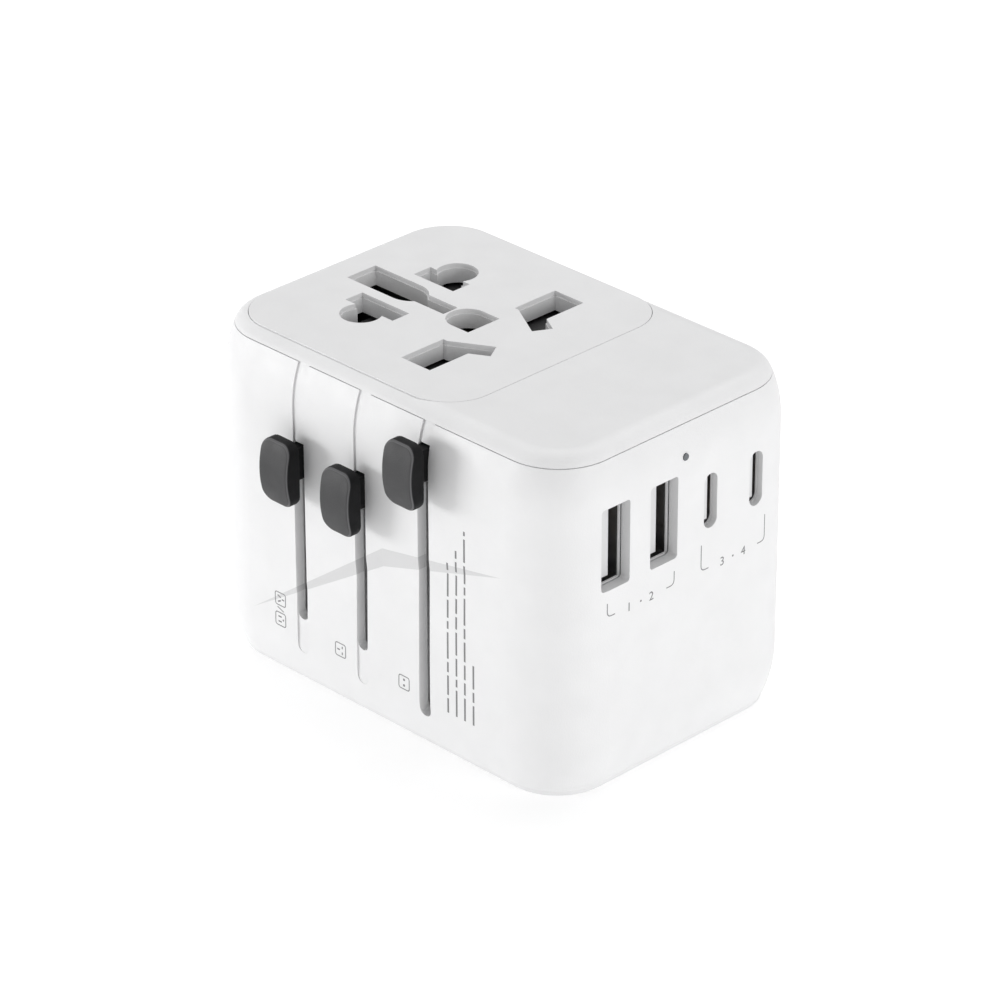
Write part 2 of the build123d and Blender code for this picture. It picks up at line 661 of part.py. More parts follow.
def a_shell(y):
    """Folded steel shell of a large port, standing on its narrow side."""
    w, h, t = 5.2, 12.5, 0.35
    back = SHELL_FRONT - 13.8
    z0, z1 = A_PORT_Z - h / 2, A_PORT_Z + h / 2
    shell = block(back, SHELL_FRONT, y - w / 2 - t, y + w / 2 + t, z0 - t, z1 + t)
    shell -= block(back + t, SHELL_FRONT + 1, y - w / 2, y + w / 2, z0, z1)
    for x in (back + 2.0, SHELL_FRONT - 4.0):
        shell += block(x, x + 1.6, y - w / 2 - t, y - w / 2, BOARD_Z[1], z0)
        shell += block(x, x + 1.6, y + w / 2, y + w / 2 + t, BOARD_Z[1], z0)
    return shell


def a_tongue(y):
    back = SHELL_FRONT - 13.8 + 0.35
    tongue = block(back, SHELL_FRONT - 0.25, y - 1.1, y + 0.76, A_PORT_Z - 5.55, A_PORT_Z + 5.55)
    return tongue + block(back, back + 3.0, y - 2.6, y + 2.6, A_PORT_Z - 6.25, A_PORT_Z + 6.25)


def c_shell(y):
    w, h = C_SHELL
    t = C_SHELL_T
    shell = stadium(y, C_PORT_Z, w + 2 * t, h + 2 * t, C_SHELL_BACK, C_SHELL_FRONT)
    shell -= stadium(y, C_PORT_Z, w, h, C_SHELL_BACK + t, C_SHELL_FRONT + 1)
    foot_top = C_PORT_Z - h / 2 - 0.05
    foot = block(C_SHELL_BACK + 0.8, C_SHELL_BACK + 5.6, y - 1.2, y + 1.2, BOARD_Z[1], foot_top)
    return shell + foot


def c_tongue(y):
    back = C_SHELL_BACK + C_SHELL_T
    tongue = block(back, C_SHELL_FRONT, y - 0.35, y + 0.35, C_PORT_Z - 3.35, C_PORT_Z + 3.35)
    return tongue + stadium(y, C_PORT_Z, *C_SHELL, back, back + 1.6)


def status_light():
    """Clear light pipe from the end face back and down towards the board."""
    pipe = lengthwise(LIGHT_Y, LIGHT_Z, 0.5, 31.2, HALF_LENGTH - 0.02)
    pipe += block(30.6, 31.6, LIGHT_Y - 0.7, LIGHT_Y + 0.7, 33.0, LIGHT_Z + 0.6)
    return pipe


def transformer():
    """Ferrite core with two windows, and the winding round its middle leg."""
    core = block(20.0, 33.0, -5.0, 5.0, 16.0, 29.3)
    for x in (22.4, 28.1):
        core -= block(x, x + 2.5, -6, 6, 18.4, 26.9)
    winding = block(22.6, 30.4, -7.4, 7.4, 18.6, 26.7) - block(24.8, 28.2, -5.1, 5.1, 17, 28)
    return core, winding


def capacitor(x, y, r, z0):
    body = upright(x, y, r, z0, 29.4)
    return chamfer(body.edges().filter_by(GeomType.CIRCLE).sort_by(Axis.Z)[:1], 0.5)


def fuse_clip(x):
    """Sprung holder round one end of the fuse, open at the bottom."""
    clip = block(x, x + 1.0, 16.6, 21.2, 23.4, 29.5)
    clip -= block(x - 1, x + 2, 17.1, 20.7, 23.8, 29.0)
    return clip - block(x - 1, x + 2, 17.5, 20.3, 20.0, 25.0)


# ---------------------------------------------------------------- write every node
def build():
    save(main_housing(), "main_housing")
    save(top_cover(), "top_cover")
    save(socket_panel(), "socket_panel")
    save(base_plate(), "base_plate")
    corners = [(sx * SCREW_X, sy * SCREW_Y) for sx in (-1, 1) for sy in (-1, 1)]
    corner_screws = [screw(x, y, 0.2, 10.0, SCREW_HEAD_R, SCREW_R, 1.0) for x, y in corners]
    save(corner_screws, "base_screws")

    save(contact_carrier(), "contact_carrier")
    line, neutral = mirrored(mains_contact())
    save(neutral, "line_contact")
    save(line, "neutral_contact")
    save(earth_contact(), "earth_contact")
    save(supply_bar(1), "neutral_supply_bar")
    save(supply_bar(-1), "line_supply_bar")
    save(shutter_plate(), "shutter_plate")
    save(Pos(4.0, 0, 46.5) * Rot(0, 90, 0) * coil(1.2, 0.35, 10.2, 7), "shutter_spring")

    for prefix, x, z, flange_drop in (
        ("us", US_SLOT_X, LOW_KNOB_Z, 3.4),
        ("uk", UK_SLOT_X, LOW_KNOB_Z, 3.4),
        ("eu", EU_SLOT_X, EU_KNOB_Z, 1.9),
    ):
        save(knob(x, z, flange_drop), prefix + "_knob")
        save(knob_spring(x, z), prefix + "_knob_spring")

    save(us_carriage(), "us_carriage")
    for name, sy in (("line", -1), ("neutral", 1)):
        save(us_barrel(sy * BARREL_Y), f"us_{name}_seat")
        save(us_blade(sy * BARREL_Y), f"us_{name}_blade")

    save(uk_carriage(), "uk_carriage")
    save(uk_mains_pin(-MAINS_Y), "uk_line_pin")
    save(uk_mains_pin(MAINS_Y), "uk_neutral_pin")
    save(flat_pin(EARTH_X, 0, 4.0, 2.0, UK_EARTH_TIP, DECK_TOP), "uk_earth_pin")
    save([uk_sleeve(sy * MAINS_Y) for sy in (-1, 1)], "uk_pin_sleeves")

    save(eu_block(), "eu_block")
    save(eu_pin(-EURO_Y), "eu_line_pin")
    save(eu_pin(EURO_Y), "eu_neutral_pin")
    save([eu_sleeve(sy * EURO_Y) for sy in (-1, 1)], "eu_pin_sleeves")

    save(circuit_board(), "circuit_board")
    places = [(BOARD_SCREW_X, sy * BOARD_SCREW_Y) for sy in (-1, 1)]
    save([screw(x, y, 28.6, 36.0, 1.6, 0.75, 1.0) for x, y in places], "board_screws")
    for i, y in enumerate(A_PORTS_Y, 1):
        save(a_shell(y), f"large_port_shell_{i}")
        save(a_tongue(y), f"large_port_tongue_{i}")
    for i, y in enumerate(C_PORTS_Y, 1):
        save(c_shell(y), f"small_port_shell_{i}")
        save(c_tongue(y), f"small_port_tongue_{i}")
    save(status_light(), "status_light")
    core, winding = transformer()
    save(core, "transformer_core")
    save(winding, "transformer_winding")
    save([capacitor(22.6, sy * 12.2, 4.0, 14.5) for sy in (-1, 1)], "capacitors")
    save(upright(30.2, -12.0, 2.9, 20.5, 29.4) - upright(30.2, -12.0, 1.2, 20.0, 29.0), "choke")
    chips = [block(20.4, 24.4, -1.2, 3.0, 31.25, 32.6), block(21.0, 24.0, 8.0, 12.0, 31.25, 32.4)]
    save(chips, "control_chips")
    save(lengthwise(18.9, 25.6, 1.8, 26.2, 29.8), "fuse")
    save([fuse_clip(x) for x in (25.2, 29.8)], "fuse_clips")


build()
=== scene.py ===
"""Universal travel adapter: finishes, finger knobs, printed marks, port contacts, floor, light, camera.

Metres, in the frame of the CAD model: origin at the centre of the base, +Z up, +X towards the
charging ports, -Y towards the slider face.
"""

from math import cos, pi, radians, sin, sqrt

import bmesh
import bpy
from mathutils import Matrix, Vector
from mathutils.bvhtree import BVHTree


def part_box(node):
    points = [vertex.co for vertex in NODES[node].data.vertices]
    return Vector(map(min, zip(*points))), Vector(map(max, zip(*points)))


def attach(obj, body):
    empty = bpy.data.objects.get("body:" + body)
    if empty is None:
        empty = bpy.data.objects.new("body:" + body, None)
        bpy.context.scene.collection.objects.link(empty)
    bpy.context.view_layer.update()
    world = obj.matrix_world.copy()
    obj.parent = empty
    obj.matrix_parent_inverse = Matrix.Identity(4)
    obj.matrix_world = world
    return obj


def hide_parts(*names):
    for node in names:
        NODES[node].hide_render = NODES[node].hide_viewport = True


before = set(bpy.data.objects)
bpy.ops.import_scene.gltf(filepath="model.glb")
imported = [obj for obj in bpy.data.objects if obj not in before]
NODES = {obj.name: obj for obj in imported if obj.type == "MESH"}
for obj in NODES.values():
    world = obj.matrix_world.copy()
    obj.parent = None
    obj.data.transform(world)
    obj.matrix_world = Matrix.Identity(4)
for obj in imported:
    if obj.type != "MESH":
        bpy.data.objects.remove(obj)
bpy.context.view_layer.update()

MM = 0.001


# ---------------------------------------------------------------- material building blocks
def new_material(name, colour, roughness, metallic=0.0, **constants):
    """Material with a Principled shader; constants are socket names with underscores."""
    mat = bpy.data.materials.new(name)
    mat.use_nodes = True
    mat.diffuse_color = (*colour, 1.0)
    shader = mat.node_tree.nodes["Principled BSDF"]
    shader.inputs["Base Color"].default_value = (*colour, 1.0)
    shader.inputs["Roughness"].default_value = roughness
    shader.inputs["Metallic"].default_value = metallic
    for key, value in constants.items():
        shader.inputs[key.replace("_", " ")].default_value = value
    return mat


def add_node(mat, kind, **settings):
    node = mat.node_tree.nodes.new(kind)
    for key, value in settings.items():
        setattr(node, key, value)
    return node


def link(mat, source, target):
    mat.node_tree.links.new(source, target)


def maths(mat, operation, a, b=None, clamp=False):
    """Math node on sockets or numbers."""
    node = add_node(mat, "ShaderNodeMath", operation=operation, use_clamp=clamp)
    for socket, value in zip(node.inputs, (a, b)):
        if isinstance(value, (int, float)):
            socket.default_value = value
        elif value is not None:
            link(mat, value, socket)
    return node.outputs[0]


def noise(mat, size, detail=2.0, stretch=(1, 1, 1)):
    """Noise whose features are about size metres across, stretched along the axes."""
    coords = add_node(mat, "ShaderNodeTexCoord")
    scale = add_node(mat, "ShaderNodeMapping")
    scale.inputs["Scale"].default_value = [1 / (size * s) for s in stretch]
    texture = add_node(mat, "ShaderNodeTexNoise")
    texture.inputs["Scale"].default_value = 1.0
    texture.inputs["Detail"].default_value = detail
    link(mat, coords.outputs["Object"], scale.inputs["Vector"])
    link(mat, scale.outputs["Vector"], texture.inputs["Vector"])
    return texture.outputs[0]


def spread(mat, source, low, high, start=0.3, end=0.7):
    """Remap a 0-1 value to the range low-high."""
    node = add_node(mat, "ShaderNodeMapRange")
    for key, value in (("From Min", start), ("From Max", end), ("To Min", low), ("To Max", high)):
        node.inputs[key].default_value = value
    link(mat, source, node.inputs["Value"])
    return node.outputs["Result"]


def tint(mat, source, dark, light, start=0.3, end=0.7):
    """Colour that varies between two colours with a noise, linked to the shader."""
    ramp = add_node(mat, "ShaderNodeValToRGB")
    for element, place, colour in zip(ramp.color_ramp.elements, (start, end), (dark, light)):
        element.position = place
        element.color = (*colour, 1.0)
    link(mat, source, ramp.inputs["Fac"])
    link(mat, ramp.outputs["Color"], mat.node_tree.nodes["Principled BSDF"].inputs["Base Color"])


def shade(mat, factor, colour):
    """Mix the base colour that is linked so far towards a colour."""
    shader = mat.node_tree.nodes["Principled BSDF"]
    mix = add_node(mat, "ShaderNodeMix", data_type="RGBA")
    base = shader.inputs["Base Color"].links[0].from_socket
    link(mat, factor, mix.inputs["Factor"])
    link(mat, base, mix.inputs["A"])
    mix.inputs["B"].default_value = (*colour, 1.0)
    link(mat, mix.outputs["Result"], shader.inputs["Base Color"])


def vary_roughness(mat, source, low, high):
    link(mat, spread(mat, source, low, high), mat.node_tree.nodes["Principled BSDF"].inputs["Roughness"])


def relief(mat, source, depth):
    """Bump of a given depth in metres, on top of any bump that is already there."""
    shader = mat.node_tree.nodes["Principled BSDF"]
    bump = add_node(mat, "ShaderNodeBump")
    bump.inputs["Strength"].default_value = 1.0
    bump.inputs["Distance"].default_value = depth
    if shader.inputs["Normal"].is_linked:
        link(mat, shader.inputs["Normal"].links[0].from_socket, bump.inputs["Normal"])
    link(mat, source, bump.inputs["Height"])
    link(mat, bump.outputs["Normal"], shader.inputs["Normal"])


def moulded_plastic(name, colour, roughness, grain=0.00022, depth=0.000026, mottle=0.03, **constants):
    """Moulded plastic with a spark-eroded grain, faint mottling and uneven sheen."""
    mat = new_material(name, colour, roughness, IOR=1.48, **constants)
    tint(mat, noise(mat, 0.006, detail=3.0), [c * (1 - mottle) for c in colour], colour)
    vary_roughness(mat, noise(mat, 0.0025, detail=4.0), roughness - 0.05, roughness + 0.07)
    relief(mat, noise(mat, grain), depth)
    return mat


def worked_metal(name, colour, roughness, stretch=(1, 1, 1), line=0.00012, depth=0.000003):
    """Plated or rolled metal with fine lines, cloudy colour and uneven polish."""
    mat = new_material(name, colour, roughness, metallic=1.0)
    tint(mat, noise(mat, 0.0022, detail=5.0), [c * 0.8 for c in colour], colour)
    vary_roughness(mat, noise(mat, line * 3, detail=4.0, stretch=stretch), roughness * 0.8, roughness * 1.3)
    relief(mat, noise(mat, line, detail=3.0, stretch=stretch), depth)
    return mat


def painted_recess_shade(mat, reach, darkest, colour):
    """Painted shade: darken the walls of slots, holes and seams by an ambient occlusion mask."""
    occlusion = add_node(mat, "ShaderNodeAmbientOcclusion", samples=8, only_local=True)
    occlusion.inputs["Distance"].default_value = reach
    shade(mat, spread(mat, occlusion.outputs["AO"], darkest, 0.0, 0.15, 0.6), colour)


def triangle_mask(mat, coords, corners, soft=0.00005):
    """1 inside an upright triangle given by (x, z) corners listed clockwise, seen along +Y."""
    inside = None
    for (ax, az), (bx, bz) in zip(corners, corners[1:] + corners[:1]):
        length = sqrt((bx - ax) ** 2 + (bz - az) ** 2)
        nx, nz = (bz - az) / length, -(bx - ax) / length
        dot = add_node(mat, "ShaderNodeVectorMath", operation="DOT_PRODUCT")
        link(mat, coords, dot.inputs[0])
        dot.inputs[1].default_value = (nx / soft, 0.0, nz / soft)
        side = maths(mat, "ADD", dot.outputs["Value"], -(nx * ax + nz * az) / soft + 0.5, clamp=True)
        inside = side if inside is None else maths(mat, "MINIMUM", inside, side)
    return inside


# ---------------------------------------------------------------- materials
CREASE_LEFT = (-25.3 * MM, 9.2 * MM)
CREASE_PEAK = (1.77 * MM, 29.05 * MM)
CREASE_RIGHT = (25.1 * MM, 33.4 * MM)
CREASE_FOLD = (1.72 * MM, 26.1 * MM)
SLIDER_SIDE = -21 * MM
WHITE = (0.83, 0.83, 0.835)


def housing_finish():
    """White plastic; the two steep facets of the crease on the slider face are darkened grey as painted
    shade.
    """
    mat = moulded_plastic("housing_finish", WHITE, 0.45)
    coords = add_node(mat, "ShaderNodeTexCoord").outputs["Object"]
    left = triangle_mask(mat, coords, [CREASE_LEFT, CREASE_PEAK, CREASE_FOLD])
    right = triangle_mask(mat, coords, [CREASE_PEAK, CREASE_RIGHT, CREASE_FOLD])
    split = add_node(mat, "ShaderNodeSeparateXYZ")
    link(mat, coords, split.inputs[0])
    slider_side = maths(mat, "LESS_THAN", split.outputs["Y"], SLIDER_SIDE)
    painted_shade_band = maths(mat, "MULTIPLY", maths(mat, "MAXIMUM", left, right), slider_side)
    # Painted shade on the down-facing crease facets.
    shade(mat, maths(mat, "MULTIPLY", painted_shade_band, 0.62), (0.56, 0.56, 0.565))
    # Painted shade on the walls of slots, holes and seams of the housing.
    painted_recess_shade(mat, 0.0018, 0.85, (0.17, 0.17, 0.17))
    return mat


def panel_finish():
    mat = moulded_plastic("cover_finish", WHITE, 0.43)
    # Painted shade on the walls of holes and seams of the cover.
    painted_recess_shade(mat, 0.0010, 0.55, (0.30, 0.30, 0.30))
    return mat


def circuit_board_finish():
    """Green solder mask with copper tracks showing faintly through it."""
    mat = new_material("board_finish", (0.012, 0.11, 0.045), 0.34, IOR=1.5)
    tint(mat, noise(mat, 0.0011, detail=5.0), (0.006, 0.065, 0.026), (0.014, 0.125, 0.05))
    tracks = noise(mat, 0.0009, detail=0.0, stretch=(4, 1, 1))
    shade(mat, spread(mat, tracks, 0.0, 0.5, 0.55, 0.6), (0.03, 0.20, 0.08))
    relief(mat, tracks, 0.00004)
    return mat


def copper_winding_finish():
    """Enamelled copper wire, wound in close turns."""
    mat = new_material("winding_finish", (0.62, 0.2, 0.055), 0.3, metallic=0.9)
    coords = add_node(mat, "ShaderNodeTexCoord")
    turns = add_node(mat, "ShaderNodeTexWave", wave_type="BANDS", bands_direction="Z")
    turns.inputs["Scale"].default_value = 620.0
    turns.inputs["Distortion"].default_value = 0.4
    link(mat, coords.outputs["Object"], turns.inputs["Vector"])
    tint(mat, turns.outputs["Fac"], (0.28, 0.08, 0.02), (0.68, 0.24, 0.07), 0.1, 0.8)
    relief(mat, turns.outputs["Fac"], 0.0001)
    return mat


def port_steel_painted_light(shell):
    """Stamped steel, toned dark as painted shade inside the port, with a painted highlight in a narrow band
    at the front of a shell.
    """
    mat = worked_metal(shell + "_finish", (0.30, 0.30, 0.31), 0.34, stretch=(14, 1, 1))
    coords = add_node(mat, "ShaderNodeTexCoord")
    split = add_node(mat, "ShaderNodeSeparateXYZ")
    link(mat, coords.outputs["Object"], split.inputs[0])
    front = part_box(shell)[1][0]
    # Painted highlight: the front band of the shell is bright and not metallic.
    edge = maths(mat, "GREATER_THAN", split.outputs["X"], front - 0.3 * MM)
    shade(mat, edge, (0.92, 0.92, 0.93))
    metallic = mat.node_tree.nodes["Principled BSDF"].inputs["Metallic"]
    link(mat, maths(mat, "SUBTRACT", 1.0, edge), metallic)
    return mat


def knob_finish():
    """Charcoal plastic: satin front, flanks darkened as painted shade with less sheen, and a painted
    highlight on the rim between them.
    """
    mat = moulded_plastic("knob_finish", (0.05, 0.05, 0.052), 0.5, Specular_IOR_Level=0.3)
    split = add_node(mat, "ShaderNodeSeparateXYZ")
    link(mat, add_node(mat, "ShaderNodeNewGeometry").outputs["Normal"], split.inputs[0])
    facing = maths(mat, "MULTIPLY", split.outputs["Y"], -1.0)
    # Painted shade: flanks darker by the direction they face.
    shade(mat, spread(mat, facing, 0.9, 0.0, 0.1, 0.55), (0.004, 0.004, 0.0045))
    level = mat.node_tree.nodes["Principled BSDF"].inputs["Specular IOR Level"]
    link(mat, spread(mat, facing, 0.12, 0.3, 0.1, 0.55), level)
    # Painted highlight on the rim between flank and front.
    past_flank = maths(mat, "GREATER_THAN", facing, 0.45)
    before_front = maths(mat, "LESS_THAN", facing, 0.88)
    painted_rim_highlight = maths(mat, "MULTIPLY", past_flank, before_front)
    shade(mat, maths(mat, "MULTIPLY", painted_rim_highlight, 0.6), (0.16, 0.16, 0.165))
    return mat


def screw_finish():
    """Zinc-plated steel with turning marks."""
    return worked_metal("screw_finish", (0.52, 0.53, 0.55), 0.33, line=0.0003)


FINISH = {
    "white_plastic": panel_finish(),
    "black_plastic": moulded_plastic("black_finish", (0.012, 0.012, 0.013), 0.42, mottle=0.2),
    "charcoal_plastic": moulded_plastic(
        "charcoal_finish", (0.036, 0.036, 0.038), 0.34, grain=0.00018, depth=0.000006, mottle=0.12
    ),
    "grey_plastic": moulded_plastic("grey_finish", (0.42, 0.42, 0.43), 0.5, mottle=0.08),
    "nickel_plate": worked_metal("nickel_finish", (0.72, 0.70, 0.66), 0.2, stretch=(1, 1, 12)),
    "port_steel": port_steel_painted_light("large_port_shell_1"),
    "brass": worked_metal("brass_finish", (0.78, 0.55, 0.22), 0.27, stretch=(10, 1, 1)),
    "spring_steel": worked_metal("spring_finish", (0.50, 0.51, 0.53), 0.24),
    "screw_steel": screw_finish(),
    "board": circuit_board_finish(),
    "ferrite": moulded_plastic("ferrite_finish", (0.03, 0.03, 0.032), 0.55, depth=0.00006, mottle=0.3),
    "winding": copper_winding_finish(),
    "capacitor_can": worked_metal("can_finish", (0.45, 0.47, 0.50), 0.3, stretch=(1, 1, 8)),
    "light_pipe": moulded_plastic("light_finish", (0.13, 0.14, 0.15), 0.2, mottle=0.1),
    "fuse_body": worked_metal("fuse_finish", (0.66, 0.62, 0.52), 0.22),
}
HOUSING_FINISH = housing_finish()
KNOB_FINISH = knob_finish()
SMALL_SHELL_FINISH = port_steel_painted_light("small_port_shell_1")
TONGUE_FINISH = moulded_plastic("tongue_finish", (0.74, 0.74, 0.745), 0.4, grain=0.00012, depth=0.000004)
GOLD_FINISH = worked_metal("gold_finish", (0.95, 0.70, 0.30), 0.2, stretch=(10, 1, 1))
INK_FINISH = moulded_plastic(
    "ink_finish", (0.22, 0.22, 0.225), 0.55, grain=0.0001, depth=0.000002, mottle=0.15
)


def carry_finishes():
    """Give every CAD node the finish of its material slot, or its own."""
    own = {"main_housing": HOUSING_FINISH}
    own.update({name: TONGUE_FINISH for name in NODES if "port_tongue" in name})
    own.update({name: SMALL_SHELL_FINISH for name in NODES if "small_port_shell" in name})
    for name, node in NODES.items():
        for slot in node.material_slots:
            slot.material = own.get(name, FINISH[slot.material.name])


carry_finishes()


# ---------------------------------------------------------------- mesh building blocks
def add_piece(name, bm, body, finish, sharp=35.0):
    """Turn a bmesh into a smooth-shaded piece that rides on a CAD body."""
    bmesh.ops.recalc_face_normals(bm, faces=bm.faces[:])
    mesh = bpy.data.meshes.new(name)
    bm.to_mesh(mesh)
    bm.free()
    mesh.materials.append(finish)
    mesh.shade_smooth()
    mesh.set_sharp_from_angle(angle=radians(sharp))
    piece = bpy.data.objects.new(name, mesh)
    bpy.context.scene.collection.objects.link(piece)
    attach(piece, body)
    return piece


def bevelled_bar(bm, low, high, bevel):
    """Box between two corners with rounded edges."""
    low, high = Vector(low), Vector(high)
    made = bmesh.ops.create_cube(bm, size=1.0)
    for vert in made["verts"]:
        vert.co = Vector(l + (h - l) * (c + 0.5) for l, h, c in zip(low, high, vert.co))
    edges = list({edge for vert in made["verts"] for edge in vert.link_edges})
    bmesh.ops.bevel(bm, geom=edges, offset=bevel, segments=2, profile=0.6, affect="EDGES")


def rod(bm, centre, axis, length, radius, bevel, sides=24):
    """Round bar with softened ends; axis is a unit vector."""
    turn = Vector(axis).to_track_quat("Z", "Y").to_matrix().to_4x4()
    place = Matrix.Translation(centre) @ turn
    made = bmesh.ops.create_cone(
        bm, cap_ends=True, segments=sides, radius1=radius, radius2=radius, depth=length, matrix=place
    )
    edges = {edge for vert in made["verts"] for edge in vert.link_edges}
    caps = [edge for edge in edges if any(len(face.verts) > 4 for face in edge.link_faces)]
    bmesh.ops.bevel(bm, geom=caps, offset=bevel, segments=2, profile=0.5, affect="EDGES")


def rounded_outline(half_w, half_h, radius, arc_steps=8, side_steps=12):
    """Points round a rectangle with rounded corners, evenly placed along its long sides."""
    points = []
    corners = ((1, 1, 0), (-1, 1, 90), (-1, -1, 180), (1, -1, 270))
    for sx, sy, start in corners:
        cx, cy = sx * (half_w - radius), sy * (half_h - radius)
        for i in range(arc_steps + 1):
            a = radians(start + 90 * i / arc_steps)
            points.append((cx + radius * cos(a), cy + radius * sin(a)))
        if start in (90, 270):
            run = 2 * (half_h - radius)
            for i in range(1, side_steps):
                points.append((sx * half_w, cy - sy * run * i / side_steps))
    return points


def ladder(bm, ring, arc_steps=8):
    """Close a rounded outline with rows that each join two mirrored points of its long sides."""
    count = len(ring)
    rows = [(ring[arc_steps - k], ring[arc_steps + 1 + k]) for k in range(count // 2)]
    for (right, left), (next_right, next_left) in zip(rows, rows[1:]):
        bm.faces.new((right, left, next_left, next_right))


def bridge(bm, rings):
    """Quads between rings with the same number of vertices."""
    for low, high in zip(rings, rings[1:]):
        for i in range(len(low)):
            j = (i + 1) % len(low)
            bm.faces.new((low[i], low[j], high[j], high[i]))


# ---------------------------------------------------------------- finger knobs
KNOB_RADIUS = 1.75 * MM
KNOB_DEPTH = 2.65 * MM
KNOB_DROP = 0.25 * MM
KNOB_CROWN = 1.0 * MM
KNOB_EDGE = 0.34 * MM


def neck_outline():
    """Section of the neck: its lower corners follow the round end of the slot."""
    size = (MM, 2.65 * MM)
    square = rounded_outline(*size, 0.12 * MM)
    rounded = rounded_outline(*size, 0.9 * MM)
    return [low if low[1] < 0 else high for low, high in zip(rounded, square)]


def finger_knob(node):
    """Cap with a crowned front and a rolled edge, on its neck; add_knobs adds the stem."""
    low, high = (Vector(v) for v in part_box(node))
    cx, cz = (low.x + high.x) / 2, (low.z + high.z) / 2
    half_w, half_h = (high.x - low.x) / 2, (high.z - low.z) / 2
    front = low.y
    back = front + KNOB_DEPTH
    crown_r = (half_h ** 2 + KNOB_CROWN ** 2) / (2 * KNOB_CROWN)

    def crown(z):
        return front + crown_r - sqrt(crown_r ** 2 - z ** 2)

    bm = bmesh.new()

    def ring(inset, depth, flat=None):
        outline = rounded_outline(half_w - inset, half_h - inset, KNOB_RADIUS - inset)
        return [bm.verts.new((cx + x, flat or crown(z) + depth, cz + z)) for x, z in outline]

    rings = [ring(0.25 * MM, 0, back), ring(0.07 * MM, 0, back - 0.07 * MM), ring(0, 0, back - 0.25 * MM)]
    steps = 5
    for i in range(steps + 1):
        a = radians(90 * i / steps)
        rings.append(ring(KNOB_EDGE * (1 - cos(a)), KNOB_EDGE * (1 - sin(a))))
    rings.append(ring(KNOB_EDGE + 0.3 * MM, 0))
    bridge(bm, rings)
    bm.faces.new(rings[0])
    ladder(bm, rings[-1])
    cz += KNOB_DROP
    ends = []
    for y in (back - 0.3 * MM, high.y - 3.3 * MM):
        ends.append([bm.verts.new((cx + x, y, cz + z)) for x, z in neck_outline()])
    bridge(bm, ends)
    for end in ends:
        bm.faces.new(end)
    return bm, cx, cz, high


def add_knobs():
    """Cap, neck, flange and stem of the three knobs, placed from the inner end of the stem."""
    for prefix, drop in (("us", 3.4), ("uk", 3.4), ("eu", 1.9)):
        node = prefix + "_knob"
        bm, cx, cz, high = finger_knob(node)
        flange_low = (cx - 2.6 * MM, high.y - 4.3 * MM, cz - drop * MM)
        flange_high = (cx + 2.6 * MM, high.y - 3.3 * MM, cz + 3.4 * MM)
        bevelled_bar(bm, flange_low, flange_high, 0.15 * MM)
        rod(bm, (cx, high.y - 1.7 * MM, cz), (0, 1, 0), 3.4 * MM, 1.0 * MM, 0.15 * MM)
        piece = add_piece("finger_" + node, bm, node, KNOB_FINISH)
        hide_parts(node)


add_knobs()


# ---------------------------------------------------------------- printed marks
INK_LIFT = 0.012 * MM
INK_DEPTH = 0.03 * MM
LINE = 0.15 * MM


def smooth_turns(points, radius, steps=5):
    """Polyline with its inner corners rounded."""
    points = [Vector(p) for p in points]
    out = [points[0]]
    for before, corner, after in zip(points, points[1:], points[2:]):
        start = corner + (before - corner).normalized() * radius
        end = corner + (after - corner).normalized() * radius
        for i in range(steps + 1):
            t = i / steps
            out.append(start * (1 - t) ** 2 + corner * 2 * t * (1 - t) + end * t ** 2)
    return out + [points[-1]]


def strip(bm, points, width, closed=False, step=0.35 * MM):
    """Flat ribbon of even width along a line in the plane."""
    points = [Vector(p) for p in points]
    pairs = list(zip(points, points[1:] + points[:1]))[: None if closed else -1]
    dense = []
    for a, b in pairs:
        count = max(1, round((b - a).length / step))
        dense += [a.lerp(b, i / count) for i in range(count)]
    if not closed:
        dense.append(points[-1])
    sides = []
    last = len(dense) - 1
    for i, p in enumerate(dense):
        before = dense[i - 1] if i or closed else p
        after = dense[(i + 1) % len(dense)] if i < last or closed else p
        run = (after - before).normalized()
        side = Vector((-run.y, run.x)) * width / 2
        sides.append([bm.verts.new((*(p + s * side), 0)) for s in (-1, 1)])
    for i, (a, b) in enumerate(sides[: None if closed else -1]):
        c, d = sides[(i + 1) % len(sides)]
        bm.faces.new((a, c, d, b))


def dot(bm, centre, radius, sides=20):
    turns = [2 * pi * i / sides for i in range(sides)]
    outline = [(centre[0] + radius * cos(t), centre[1] + radius * sin(t), 0) for t in turns]
    bm.faces.new([bm.verts.new(point) for point in outline])


def numeral(bm, text, centre, height):
    """Digits in Blender's own plain typeface, as flat faces."""
    curve = bpy.data.curves.new("numeral", "FONT")
    curve.body = text
    curve.size = height / 0.7
    curve.align_x = "CENTER"
    holder = bpy.data.objects.new("numeral", curve)
    bpy.context.scene.collection.objects.link(holder)
    graph = bpy.context.evaluated_depsgraph_get()
    mesh = bpy.data.meshes.new_from_object(holder.evaluated_get(graph))
    mesh.transform(Matrix.Translation((centre[0], centre[1] - height / 2, 0)))
    bm.from_mesh(mesh)
    bpy.data.objects.remove(holder)
    bpy.data.curves.remove(curve)
    bpy.data.meshes.remove(mesh)


HOUSING_SURFACE = BVHTree.FromPolygons(
    [v.co[:] for v in NODES["main_housing"].data.vertices],
    [p.vertices[:] for p in NODES["main_housing"].data.polygons],
)


